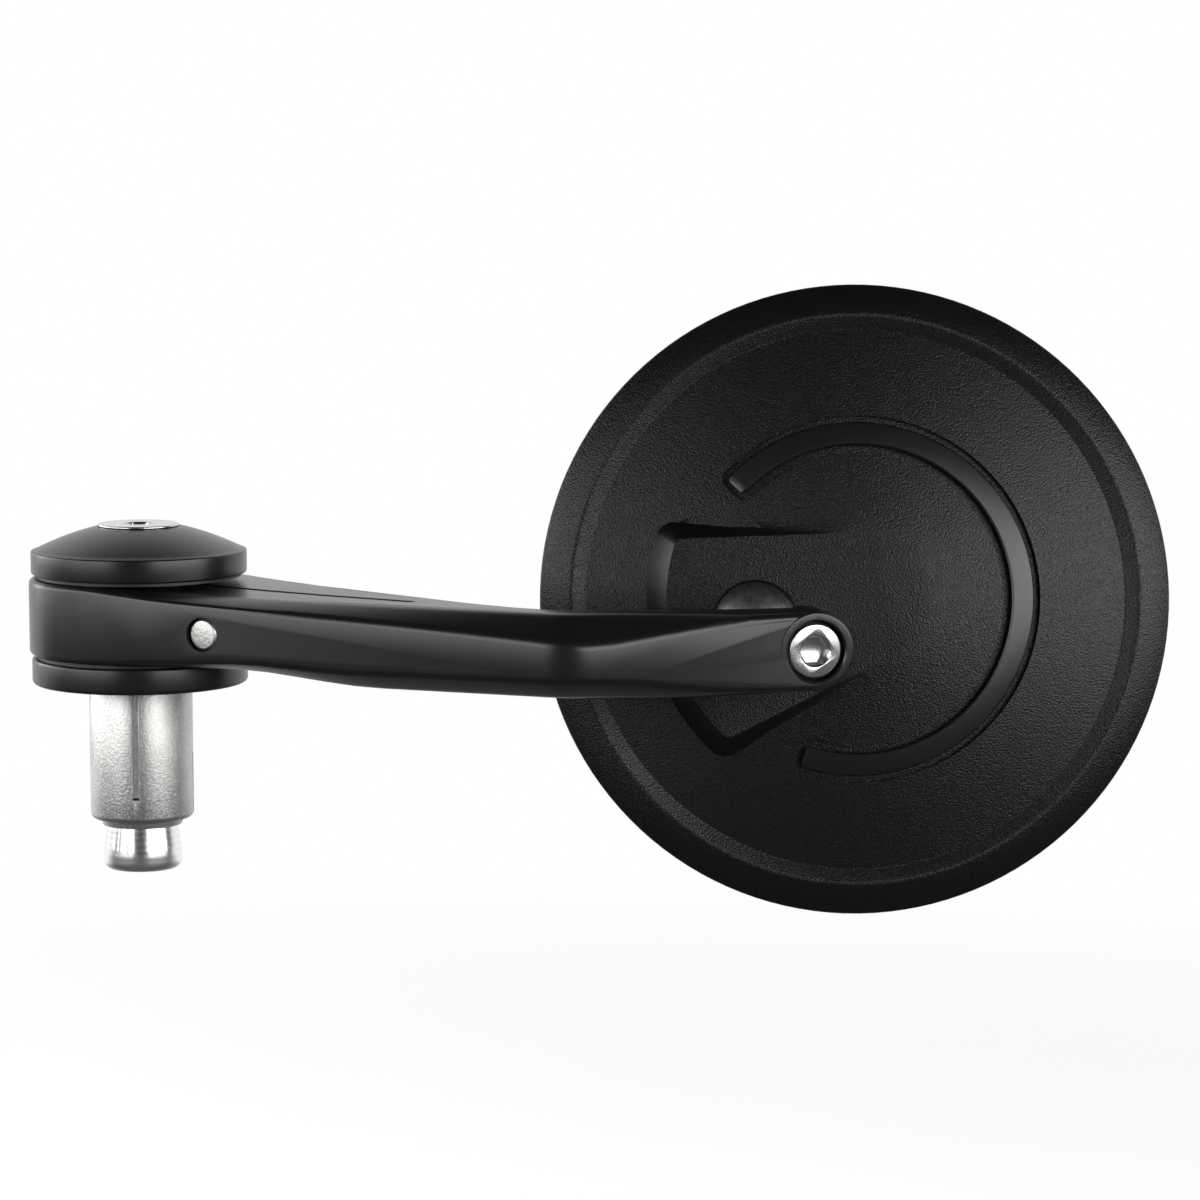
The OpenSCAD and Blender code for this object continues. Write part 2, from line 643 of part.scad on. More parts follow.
// A ring sector open by half_open on both sides of the -X axis, with rounded corners
module open_ring(r0, r1, half_open, corner, z0, z1) {
  lean = half_open + corner / ((r0 + r1) / 2) * 180 / PI;
  translate([0, 0, z0]) {
    rotate([0, 0, lean - 180]) rotate_extrude(angle = 360 - 2 * lean)
      translate([r0, 0]) square([r1 - r0, z1 - z0]);
    for (m = [0, 1]) mirror([0, m, 0]) rotate([0, 0, 180 - lean]) {
      translate([r0 + corner, -0.5, 0]) cube([r1 - r0 - 2 * corner, corner + 0.5, z1 - z0]);
      for (r = [r0 + corner, r1 - corner]) translate([r, 0, 0]) cylinder(h = z1 - z0, r = corner);
    }
  }
}

module channel_cut() {
  r0 = channel_r0;
  r1 = channel_r1;
  intersection() {
    open_ring(r0, r1, channel_open, 1.8, channel_z, head_h + 2);
    rotate_extrude() polygon([
      [r0 - 1, dome_z(r0) - channel_deep], [r1 + 1, dome_z(r1) - channel_deep], [r1 + 1, head_h + 1],
      [r0 - 1, head_h + 1]]);
  }
}

module trim_arc() {
  z0 = dome_z(channel_r0) - channel_deep;
  z1 = dome_z(channel_r1) - channel_deep;
  fall = (z1 - z0) / (channel_r1 - channel_r0 + 2);
  low0 = z0 + fall * (trim_r0 - channel_r0 + 1);
  low1 = z0 + fall * (trim_r1 - channel_r0 + 1);
  top0 = dome_z(trim_r0) + 0.1;
  top1 = dome_z(trim_r1) + 0.1;
  color("black") at_head() intersection() {
    open_ring(trim_r0, trim_r1, trim_open, 0.9, channel_z, head_h + 2);
    rotate_extrude() polygon([
      [trim_r0 - 0.5, low0 - fall * 0.5], [trim_r1 + 0.5, low1 + fall * 0.5], [trim_r1, top1 - 0.35],
      [trim_r1 - 0.12, top1 - 0.1], [trim_r1 - 0.4, top1], [trim_r0 + 0.4, top0],
      [trim_r0 + 0.12, top0 - 0.1], [trim_r0, top0 - 0.35]]);
  }
}

module head_housing() {
  outer = concat(
    [[0, 1], [rebate_r, 1], [rebate_r, 0], [head_r - 0.75, 0], [head_r - 0.5, 0.25]],
    [[head_r, waist_h - 0.4], [head_r - 0.08, waist_h - 0.1], [head_r - 0.3, waist_h + 0.12]],
    [[ridge_r + 0.4, ridge_h - 0.1]],
    [[ridge_r, ridge_h], [ridge_r - 0.4, ridge_h - 0.05], [foot_r + 0.35, foot_z + 0.08], [foot_r, foot_z]],
    [for (i = [1 : 16]) let (r = foot_r + (flat_r - foot_r) * i / 16) [r, dome_z(r)]],
    [[0, head_h - seam]]);
  inner = concat(
    [[0, -1], [rebate_r, -1], [rebate_r, shoulder_z], [shoulder_r, shoulder_z]],
    [[shoulder_r, waist_h - 1.6], [foot_r - 0.8, foot_z - shell_t]],
    [for (i = [1 : 8]) let (r = foot_r - 0.8 + (flat_r - foot_r + 0.8) * i / 8) [r, dome_z(r) - shell_t]],
    [[0, head_h - shell_t]]);
  color("dimgray") at_head() difference() {
    union() {
      difference() {
        rotate_extrude($fn = 144) polygon(outer);
        rotate_extrude($fn = 144) polygon(inner);
      }
      housing_pad();
      translate([-ball_offset, 0, ball_z + socket_bottom]) {
        cylinder(h = head_h - 1 - ball_z - socket_bottom, r = socket_r + 2.2);
        for (a = [60, 180, 300]) rotate([0, 0, a]) translate([post_at, 0, 0])
          cylinder(h = dome_z(post_reach(a) + post_r) - shell_t + 0.8 - ball_z - socket_bottom, r = post_r);
      }
    }
    channel_cut();
    translate([-ball_offset, 0, ball_z]) {
      translate([0, 0, socket_bottom - 1]) cylinder(h = 1 - socket_bottom + 0.8, r = socket_r);
      sphere(r = seat_r, $fn = 72);
      cylinder(h = 20, r = lip_r);
      translate([0, 0, ball_drop - 0.25]) cylinder(h = 0.3, r1 = lip_r, r2 = lip_r + 0.3);
      plate_spots() translate([0, 0, -0.5]) cylinder(h = plate_screw_len + 1, r = plate_screw_r + 0.02);
    }
  }
}

// The convex back of the glass and the pad behind it share this arc of n steps
function glass_sag(r) = glass_r - sqrt(glass_r * glass_r - r * r);
function glass_arc(z, r1, n = 24) =
  [for (i = [0 : n]) let (r = r1 * i / n) [r, z - glass_sag(r1) + glass_sag(r)]];

module glass_pad() {
  back = glass_edge_z + glass_t + slide;
  color("black") at_head() rotate_extrude($fn = 144) polygon(concat(
    glass_arc(back, glass_rad - 0.2), [[glass_rad - 0.2, shoulder_z], [0, shoulder_z]]));
}

module mirror_glass() {
  back = glass_arc(glass_edge_z + glass_t, glass_rad);
  color("lightsteelblue") at_head() rotate_extrude($fn = 144) polygon(concat(
    glass_arc(glass_edge_z, glass_rad - 0.15), [[glass_rad, glass_edge_z + 0.15]],
    [for (i = [len(back) - 1 : -1 : 0]) back[i]]));
}

expander_sleeve();
cone_nut();
expander_screw();
flange_spigot();
lower_slip_ring();
upper_slip_ring();
top_cap();
arm();
clamp_screw();
pivot_screw();
lock_washer();
ball_stud();
ball_cup();
thrust_ring();
disc_spring();
socket_plate();
plate_screws();
head_housing();
trim_arc();
glass_pad();
mirror_glass();
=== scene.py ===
"""Looks, light and camera for the bar end mirror.

Every length is in metres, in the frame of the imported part: Z is the handlebar's axis, X runs to the mirror head,
the head's back faces -Y and its glass faces +Y.
"""

import json
import logging
import math
from dataclasses import dataclass
from enum import Enum
from typing import Any, Iterable, Sequence, Union

import bpy
from mathutils import Euler, Matrix, Vector


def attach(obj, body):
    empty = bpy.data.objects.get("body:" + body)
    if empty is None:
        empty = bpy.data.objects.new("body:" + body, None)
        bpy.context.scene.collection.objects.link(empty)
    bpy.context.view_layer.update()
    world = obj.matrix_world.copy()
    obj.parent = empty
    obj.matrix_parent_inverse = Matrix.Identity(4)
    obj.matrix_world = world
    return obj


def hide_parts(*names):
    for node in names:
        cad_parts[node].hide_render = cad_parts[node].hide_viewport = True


LOG = logging.getLogger("bar_end_mirror")
MM = 0.001
Value = Union[float, int, Sequence[float], "Num", bpy.types.NodeSocket]
Colour = tuple[float, float, float]
WHITE = (1, 1, 1, 1)

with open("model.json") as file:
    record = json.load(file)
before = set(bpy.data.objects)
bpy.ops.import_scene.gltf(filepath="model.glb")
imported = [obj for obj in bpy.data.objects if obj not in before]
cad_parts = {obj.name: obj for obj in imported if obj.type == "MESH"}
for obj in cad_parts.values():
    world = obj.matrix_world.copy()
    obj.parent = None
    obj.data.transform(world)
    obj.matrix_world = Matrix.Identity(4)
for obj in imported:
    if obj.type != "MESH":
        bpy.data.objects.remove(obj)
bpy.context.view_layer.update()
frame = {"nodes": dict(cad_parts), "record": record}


class Num:
    """A number that varies over a surface: a socket that Python expressions add Math nodes to."""

    def __init__(self, tree: "Tree", socket: bpy.types.NodeSocket) -> None:
        """Wraps a socket of the tree."""
        self.tree = tree
        self.socket = socket

    def op(self, kind: str, *terms: Union[float, "Num"], clamp: bool = False) -> "Num":
        """Adds a Math node.

        Args:
            kind: the Math node's operation.
            terms: what goes into its sockets, in order.
            clamp: whether the result stays between 0 and 1.

        Returns:
            The node's result.
        """
        made = self.tree.node("ShaderNodeMath", {"operation": kind, "use_clamp": clamp}, dict(enumerate(terms)))
        return Num(self.tree, made.outputs[0])

    def __add__(self, other: Union[float, "Num"]) -> "Num":
        """This plus other."""
        return self.op("ADD", self, other)

    def __radd__(self, other: float) -> "Num":
        """Other plus this."""
        return self.op("ADD", other, self)

    def __sub__(self, other: Union[float, "Num"]) -> "Num":
        """This minus other."""
        return self.op("SUBTRACT", self, other)

    def __rsub__(self, other: float) -> "Num":
        """Other minus this."""
        return self.op("SUBTRACT", other, self)

    def __mul__(self, other: Union[float, "Num"]) -> "Num":
        """This times other."""
        return self.op("MULTIPLY", self, other)

    def __rmul__(self, other: float) -> "Num":
        """Other times this."""
        return self.op("MULTIPLY", other, self)

    def clamped(self) -> "Num":
        """This, kept between 0 and 1."""
        return self.op("ADD", self, 0.0, clamp=True)


class Tree:
    """A node tree that starts empty."""

    def __init__(self, tree: bpy.types.NodeTree) -> None:
        """Clears the tree."""
        self.tree = tree
        self.tree.nodes.clear()

    def node(self, kind: str, settings: dict[str, Any], values: dict[Union[str, int], Value]) -> bpy.types.Node:
        """Adds one node.

        Args:
            kind: the node's type.
            settings: its own properties, set before its sockets.
            values: a number, colour or link for each socket, by name or place.

        Returns:
            The node.
        """
        made = self.tree.nodes.new(kind)
        for key, value in settings.items():
            setattr(made, key, value)
        for key, value in values.items():
            if isinstance(value, Num):
                value = value.socket
            if isinstance(value, bpy.types.NodeSocket):
                self.tree.links.new(value, made.inputs[key])
            else:
                made.inputs[key].default_value = value
        return made


class Shade(Tree):
    """The node tree of one material."""

    def __init__(self, name: str) -> None:
        """Starts an empty tree with a shader and an output.

        Args:
            name: the material's name.
        """
        self.material = bpy.data.materials.new(name)
        self.material.use_nodes = True
        super().__init__(self.material.node_tree)
        self.shader = self.node("ShaderNodeBsdfPrincipled", {}, {})
        self.node("ShaderNodeOutputMaterial", {}, {"Surface": self.shader.outputs[0]})
        where = self.node("ShaderNodeTexCoord", {}, {})
        self.place = where.outputs["Object"]
        self.facing = where.outputs["Normal"]

    def noise(self, size: float, detail: float = 2.0, soft: float = 0.5) -> Num:
        """Noise between 0 and 1.

        Args:
            size: the width of one speck, in metres.
            detail: how many finer layers it has.
            soft: how strong those layers are.

        Returns:
            The noise.
        """
        made = self.node("ShaderNodeTexNoise", {}, {
            "Vector": self.place, "Scale": 1 / size, "Detail": detail, "Roughness": soft})
        return Num(self, made.outputs[0])

    def wavering(self, size: float, shift: float) -> bpy.types.NodeSocket:
        """The object's own place, moved about by a noise.

        Args:
            size: the width of one wave of the noise, in metres.
            shift: how far it moves a point at most, in metres.

        Returns:
            The moved place.
        """
        waver = self.node("ShaderNodeTexNoise", {}, {"Vector": self.place, "Scale": 1 / size, "Detail": 2.0})
        moved = self.node("ShaderNodeVectorMath", {"operation": "MULTIPLY_ADD"}, {
            0: waver.outputs["Color"], 1: (shift,) * 3, 2: self.place})
        return moved.outputs[0]

    def cells(self, size: float, place: bpy.types.NodeSocket) -> Num:
        """Scattered rounded cells.

        Args:
            size: the width of one cell, in metres.
            place: where they are read.

        Returns:
            The distance to the nearest cell's centre.
        """
        made = self.node("ShaderNodeTexVoronoi", {"feature": "SMOOTH_F1"}, {
            "Vector": place, "Scale": 1 / size, "Randomness": 1.0})
        return Num(self, made.outputs["Distance"])

    def toward(self, way: Sequence[float]) -> Num:
        """How far the surface faces one way: 1 straight at it, 0 across it.

        Args:
            way: the direction, of length 1.

        Returns:
            The cosine between the surface's normal and the direction.
        """
        made = self.node("ShaderNodeVectorMath", {"operation": "DOT_PRODUCT"}, {0: self.facing, 1: way})
        return Num(self, made.outputs["Value"])

    def tint(self, factor: Num, low: Colour, high: Colour) -> bpy.types.NodeSocket:
        """A colour that varies over the surface.

        Args:
            factor: 0 where the colour is low, 1 where it is high.
            low: the first colour.
            high: the second colour.

        Returns:
            The colour.
        """
        made = self.node("ShaderNodeMix", {"data_type": "RGBA"}, {0: factor, 6: (*low, 1.0), 7: (*high, 1.0)})
        return made.outputs[2]

    def bump(self, height: Num, depth: float, strength: float = 1.0) -> bpy.types.NodeSocket:
        """A normal from a height.

        Args:
            height: the height, between 0 and 1.
            depth: what a height of 1 stands for, in metres.
            strength: how much of it shows.

        Returns:
            The normal.
        """
        made = self.node("ShaderNodeBump", {}, {"Height": height, "Distance": depth, "Strength": strength})
        return made.outputs[0]

    def around(self, centre: Sequence[float], axis: Sequence[float]) -> Num:
        """The distance from a line.

        Args:
            centre: a point on the line.
            axis: the line's direction, of length 1.

        Returns:
            The distance, in metres.
        """
        away = self.node("ShaderNodeVectorMath", {"operation": "SUBTRACT"}, {0: self.place, 1: centre})
        made = self.node("ShaderNodeVectorMath", {"operation": "CROSS_PRODUCT"}, {0: away.outputs[0], 1: axis})
        length = self.node("ShaderNodeVectorMath", {"operation": "LENGTH"}, {0: made.outputs[0]})
        return Num(self, length.outputs["Value"])

    def finished(self, **values: Value) -> bpy.types.Material:
        """Sets the shader's sockets.

        Args:
            values: a number, colour or link for each socket, by its name with _ for a space.

        Returns:
            The material.
        """
        for key, value in values.items():
            name = key.replace("_", " ")
            if isinstance(value, Num):
                value = value.socket
            if isinstance(value, bpy.types.NodeSocket):
                self.tree.links.new(value, self.shader.inputs[name])
            else:
                self.shader.inputs[name].default_value = value
        return self.material


@dataclass(frozen=True)
class SatinCoat:
    """A smooth satin coating with a very fine speckle."""

    name: str
    dark: Colour = (0.0030, 0.0030, 0.0032)
    light: Colour = (0.0060, 0.0060, 0.0064)
    roughness: float = 0.30
    speck: float = 0.16 * MM
    cloud: float = 14 * MM
    depth: float = 0.003 * MM
    strength: float = 0.6
    level: float = 0.5

    def material(self) -> bpy.types.Material:
        """Builds the material."""
        s = Shade(self.name)
        fine = s.noise(self.speck, 3.0, 0.7)
        cloud = s.noise(self.cloud, 2.0)
        s.shader.inputs["Specular IOR Level"].default_value = self.level
        return s.finished(
            Base_Color=s.tint(fine * 0.6 + cloud * 0.4, self.dark, self.light),
            Roughness=(self.roughness - 0.05 + fine * 0.07 + cloud * 0.04).clamped(),
            Normal=s.bump(fine, self.depth, self.strength))


@dataclass(frozen=True)
class LeatherGrain:
    """A moulded grain of small uneven pebbles, which fades out on walls too steep to hold it."""

    name: str
    facing: tuple[float, float, float] = (0.0, -0.992966, 0.118404)
    dark: Colour = (0.0012, 0.0012, 0.0013)
    light: Colour = (0.0040, 0.0040, 0.0041)
    pebble: float = 0.23 * MM
    wave: float = 0.6 * MM
    shift: float = 0.2 * MM
    speck: float = 0.12 * MM
    steep: float = 0.55
    fade: float = 5.0
    depth: float = 0.105 * MM
    strength: float = 0.85
    roughness: float = 0.28
    level: float = 0.35

    def material(self) -> bpy.types.Material:
        """Builds the material."""
        s = Shade(self.name)
        pebbles = s.cells(self.pebble, s.wavering(self.wave, self.shift))
        fine = s.noise(self.speck, 2.0, 0.6)
        flat = ((s.toward(self.facing) - self.steep) * self.fade).clamped()
        height = ((1 - pebbles * 1.1) * 0.75 + fine * 0.25) * flat + (1 - flat) * 0.5
        s.shader.inputs["Specular IOR Level"].default_value = self.level
        return s.finished(
            Base_Color=s.tint(height.clamped(), self.dark, self.light),
            Roughness=(self.roughness + 0.12 * (1 - height)).clamped(),
            Normal=s.bump(height, self.depth, self.strength))


@dataclass(frozen=True)
class PlatedMetal:
    """Plated or bare metal with a fine crystalline sparkle."""

    name: str
    dark: Colour
    light: Colour
    roughness: float
    speck: float
    depth: float = 0.006 * MM
    cloud: float = 5 * MM
    strength: float = 0.8

    def material(self) -> bpy.types.Material:
        """Builds the material."""
        s = Shade(self.name)
        fine = s.noise(self.speck, 3.0, 0.75)
        cloud = s.noise(self.cloud, 3.0)
        return s.finished(
            Metallic=1.0,
            Base_Color=s.tint((fine * 0.7 + cloud * 0.3).clamped(), self.dark, self.light),
            Roughness=(self.roughness - 0.08 + fine * 0.16).clamped(),
            Normal=s.bump(fine, self.depth, self.strength))


@dataclass(frozen=True)
class TurnedMetal:
    """Polished or turned metal with fine rings about an axis."""

    name: str
    centre: tuple[float, float, float] = (0.0, 0.0, 0.0)
    axis: tuple[float, float, float] = (0.0, 0.0, 1.0)
    dark: Colour = (0.78, 0.78, 0.78)
    light: Colour = (0.93, 0.93, 0.94)
    roughness: float = 0.22
    pitch: float = 0.12 * MM
    speck: float = 0.3 * MM
    depth: float = 0.0015 * MM
    strength: float = 0.5

    def material(self) -> bpy.types.Material:
        """Builds the material."""
        s = Shade(self.name)
        radius = s.around(self.centre, self.axis)
        rings = radius.op("SINE", radius * (2 * math.pi / self.pitch)) * 0.5 + 0.5
        fine = s.noise(self.speck, 3.0, 0.6)
        mixed = rings * 0.35 + fine * 0.65
        return s.finished(
            Metallic=1.0,
            Base_Color=s.tint(mixed.clamped(), self.dark, self.light),
            Roughness=(self.roughness - 0.05 + mixed * 0.1).clamped(),
            Normal=s.bump(mixed, self.depth, self.strength))


@dataclass(frozen=True)
class Moulded:
    """Plain moulded polymer, rubber or foam."""

    name: str
    dark: Colour
    light: Colour
    roughness: float = 0.5
    speck: float = 0.4 * MM
    depth: float = 0.01 * MM
    strength: float = 0.7

    def material(self) -> bpy.types.Material:
        """Builds the material."""
        s = Shade(self.name)
        fine = s.noise(self.speck, 3.0, 0.6)
        cloud = s.noise(12 * self.speck, 2.0)
        return s.finished(
            Base_Color=s.tint((fine * 0.5 + cloud * 0.5).clamped(), self.dark, self.light),
            Roughness=(self.roughness - 0.04 + 0.08 * fine).clamped(),
            Normal=s.bump(fine, self.depth, self.strength))


@dataclass(frozen=True)
class SilveredGlass:
    """The convex mirror's surface."""

    name: str
    dark: Colour = (0.80, 0.83, 0.85)
    light: Colour = (0.88, 0.90, 0.91)
    roughness: float = 0.015
    cloud: float = 6 * MM

    def material(self) -> bpy.types.Material:
        """Builds the material."""
        s = Shade(self.name)
        haze = s.noise(self.cloud, 3.0)
        return s.finished(
            Metallic=1.0,
            Base_Color=s.tint(haze, self.dark, self.light),
            Roughness=(self.roughness + haze * self.roughness).clamped())


Recipe = Union[SatinCoat, LeatherGrain, PlatedMetal, TurnedMetal, Moulded, SilveredGlass]


class Finish(Enum):
    """The finishes that the pieces take, by the record's slot."""

    ALLOY = "black_alloy"
    BLACK_STEEL = "black_steel"
    POLYMER = "black_polymer"
    ZINC = "zinc_steel"
    POLISHED = "polished_steel"
    STAINLESS = "stainless"
    PALE = "pale_polymer"
    GRAIN = "grained_black"
    SATIN = "satin_black"
    FOAM = "black_foam"
    MIRROR = "mirror"


class Paintbox:
    """Makes each finish once."""

    def __init__(self) -> None:
        """Lists how each finish is made."""
        self.recipes: dict[Finish, Recipe] = {
            Finish.ALLOY: SatinCoat("satin_black_alloy"),
            Finish.BLACK_STEEL: PlatedMetal(
                "blackened_steel", (0.10, 0.10, 0.10), (0.62, 0.62, 0.60), 0.38, 0.9 * MM),
            Finish.POLYMER: Moulded("black_slip_polymer", (0.008, 0.008, 0.008), (0.016, 0.016, 0.016)),
            Finish.ZINC: PlatedMetal(
                "zinc_plate", (0.14, 0.14, 0.138), (0.86, 0.86, 0.84), 0.36, 0.38 * MM, 0.08 * MM),
            Finish.POLISHED: TurnedMetal("polished_steel"),
            Finish.STAINLESS: PlatedMetal(
                "stainless_steel", (0.45, 0.45, 0.45), (0.68, 0.68, 0.68), 0.22, 0.3 * MM),
            Finish.PALE: Moulded("pale_polymer", (0.62, 0.60, 0.55), (0.72, 0.70, 0.65), 0.35),
            Finish.GRAIN: LeatherGrain("grained_black"),
            Finish.SATIN: SatinCoat("satin_black_trim"),
            Finish.FOAM: Moulded(
                "black_foam", (0.012, 0.012, 0.012), (0.03, 0.03, 0.03), 0.85, 0.3 * MM, 0.05 * MM),
            Finish.MIRROR: SilveredGlass("silvered_glass"),
        }
        self.made: dict[Finish, bpy.types.Material] = {}

    def get(self, finish: Finish) -> bpy.types.Material:
        """Makes a finish's material at its first use.

        Args:
            finish: the finish.

        Returns:
            Its material.
        """
        if finish not in self.made:
            self.made[finish] = self.recipes[finish].material()
        return self.made[finish]

    def dress(self, piece: bpy.types.Object, finish: Finish) -> None:
        """Puts one finish on all of a piece.

        Args:
            piece: the piece or CAD node.
            finish: the finish.
        """
        material = self.get(finish)
        if not piece.material_slots:
            piece.data.materials.append(material)
        for place in piece.material_slots:
            place.material = material


def pick_nothing() -> None:
    """Leaves edit mode and deselects everything."""
    if bpy.context.object is not None and bpy.context.object.mode != "OBJECT":
        bpy.ops.object.mode_set(mode="OBJECT")
    bpy.ops.object.select_all(action="DESELECT")


def pick(piece: bpy.types.Object) -> None:
    """Selects one object alone and makes it active.

    Args:
        piece: the object.
    """
    pick_nothing()
    piece.select_set(True)
    bpy.context.view_layer.objects.active = piece


@dataclass
class SolidCopy:
    """A smooth-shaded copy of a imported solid, with its doubles merged and its flat faces rejoined."""

    node: str
    body: str
    finish: Finish
    crease: float = 25.0
    edge: float = 0.0
    merge: float = 0.001 * MM
    flat: float = 0.4

    def build(self, paint: Paintbox) -> bpy.types.Object:
        """Copies, merges, shades and dresses the solid.

        Args:
            paint: where the finish comes from.

        Returns:
            The piece that stands for the node.
        """
        source = frame["nodes"][self.node]
        piece = source.copy()
        piece.data = source.data.copy()
        piece.name = self.node + "_piece"
        bpy.context.scene.collection.objects.link(piece)
        piece.parent = None
        piece.matrix_world = Matrix.Identity(4)
        pick(piece)
        bpy.ops.object.mode_set(mode="EDIT")
        bpy.ops.mesh.select_all(action="SELECT")
        bpy.ops.mesh.customdata_custom_splitnormals_clear()
        bpy.ops.mesh.remove_doubles(threshold=self.merge)
        bpy.ops.mesh.dissolve_limited(angle_limit=math.radians(self.flat))
        bpy.ops.object.mode_set(mode="OBJECT")
        if self.edge:
            self.soften(piece)
        bpy.ops.object.shade_smooth_by_angle(angle=math.radians(self.crease))
        paint.dress(piece, self.finish)
        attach(piece, self.body)
        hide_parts(self.node)
        return piece

    def soften(self, piece: bpy.types.Object) -> None:
        """Rounds the sharp edges.

        Args:
            piece: the copy, which is selected and active.
        """
        soft = piece.modifiers.new("edges", "BEVEL")
        soft.width = self.edge
        soft.segments = 2
        soft.limit_method = "ANGLE"
        soft.angle_limit = math.radians(self.crease)
        soft.use_clamp_overlap = True
        bpy.ops.object.modifier_apply(modifier="edges")


@dataclass
class Hub:
    """The stack outside the bar: the flange with its spigot, and the domed cap on top."""

    crease: float = 20.0

    def build(self, paint: Paintbox) -> list[bpy.types.Object]:
        """Builds and dresses the cap and the flange.

        Args:
            paint: where the finishes come from.

        Returns:
            The pieces.
        """
        return [SolidCopy(node, "mount", Finish.ALLOY, self.crease).build(paint)
                for node in ("top_cap", "flange_spigot")]


@dataclass
class Plug:
    """The expanding plug inside the bar: the slotted sleeve with its two keys, the cone nut and the long screw."""

    sleeve_edge: float = 0.08 * MM
    screw_edge: float = 0.06 * MM
    key_width: float = 1.0 * MM
    key_outer: float = 7.75 * MM
    key_inner: float = 6.2 * MM
    key_top: float = -0.3 * MM
    key_bottom: float = -17.15 * MM
    key_edge: float = 0.1 * MM
    key_crease: float = 30.0

    def build(self, paint: Paintbox) -> list[bpy.types.Object]:
        """Builds and dresses the plug's pieces.

        Args:
            paint: where the finishes come from.

        Returns:
            The pieces.
        """
        solids = [
            SolidCopy("expander_sleeve", "mount", Finish.ZINC, edge=self.sleeve_edge),
            SolidCopy("cone_nut", "nut", Finish.POLISHED),
            SolidCopy("expander_screw", "expander", Finish.STAINLESS, edge=self.screw_edge),
        ]
        return [solid.build(paint) for solid in solids] + self.slot_keys(paint)

    def slot_keys(self, paint: Paintbox) -> list[bpy.types.Object]:
        """Models one key in the sleeve's front slot and copies it into the back slot.

        Args:
            paint: where the finish comes from.

        Returns:
            The two keys.
        """
        pick_nothing()
        middle = (0.0, -(self.key_outer + self.key_inner) / 2, (self.key_top + self.key_bottom) / 2)
        bpy.ops.mesh.primitive_cube_add(size=1.0, location=middle)
        key = bpy.context.object
        key.name = "front_slot_key"
        key.scale = (self.key_width, self.key_outer - self.key_inner, self.key_top - self.key_bottom)
        bpy.ops.object.transform_apply(location=True, rotation=True, scale=True)
        bpy.ops.object.mode_set(mode="EDIT")
        bpy.ops.mesh.select_all(action="SELECT")
        bpy.ops.mesh.bevel(offset=self.key_edge, segments=1, affect="EDGES")
        bpy.ops.mesh.subdivide(number_cuts=1)
        bpy.ops.mesh.normals_make_consistent(inside=False)
        bpy.ops.object.mode_set(mode="OBJECT")
        bpy.ops.object.shade_smooth_by_angle(angle=math.radians(self.key_crease))
        twin = key.copy()
        twin.data = key.data.copy()
        twin.name = "back_slot_key"
        bpy.context.scene.collection.objects.link(twin)
        twin.data.transform(Matrix.Rotation(math.pi, 4, "Z"))
        for piece in (key, twin):
            paint.dress(piece, Finish.ZINC)
            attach(piece, "mount")
        return [key, twin]


@dataclass
class ArmUnit:
    """The split arm with its two screws and the ball stud."""

    screw_edge: float = 0.05 * MM

    def build(self, paint: Paintbox) -> list[bpy.types.Object]:
        """Builds and dresses the arm, its screws and the stud.

        Args:
            paint: where the finishes come from.

        Returns:
            The pieces.
        """
        solids = [
            SolidCopy("arm", "arm_unit", Finish.ALLOY),
            SolidCopy("clamp_screw", "arm_unit", Finish.ZINC, edge=self.screw_edge),
            SolidCopy("pivot_screw", "arm_unit", Finish.STAINLESS, edge=self.screw_edge),
            SolidCopy("ball_stud", "arm_unit", Finish.BLACK_STEEL),
        ]
        return [solid.build(paint) for solid in solids]


@dataclass
class Head:
    """The round head: the grained housing, the inlay in its channel and the glass."""

    trim_edge: float = 0.08 * MM

    def build(self, paint: Paintbox) -> list[bpy.types.Object]:
        """Builds and dresses the housing, the inlay and the glass.

        Args:
            paint: where the finishes come from.

        Returns:
            The pieces.
        """
        solids = [
            SolidCopy("head_housing", "head", Finish.GRAIN),
            SolidCopy("trim_arc", "head", Finish.SATIN, edge=self.trim_edge),
            SolidCopy("mirror_glass", "head", Finish.MIRROR),
        ]
        return [solid.build(paint) for solid in solids]


@dataclass(frozen=True)
class SoftBox:
    """One soft rectangular lamp that stands on a circle round the object."""

    name: str
    turn: float
    rise: float
    size: tuple[float, float]
    level: float

    def build(self, target: Vector, distance: float) -> None:
        """Adds the lamp, unseen by the camera.

        Args:
            target: what it points at.
            distance: how far from the target it stands.
        """
        turn, rise = math.radians(self.turn), math.radians(self.rise)
        way = Vector((math.sin(turn) * math.cos(rise), -math.cos(turn) * math.cos(rise), math.sin(rise)))
        data = bpy.data.lights.new(self.name, "AREA")
        data.shape = "RECTANGLE"
        data.size, data.size_y = self.size
        data.energy = self.level * math.pi * self.size[0] * self.size[1]
        lamp = bpy.data.objects.new(self.name, data)
        bpy.context.scene.collection.objects.link(lamp)
        lamp.visible_camera = False
        lamp.location = target + distance * way
        lamp.rotation_euler = (target - lamp.location).to_track_quat("-Z", "Y").to_euler()


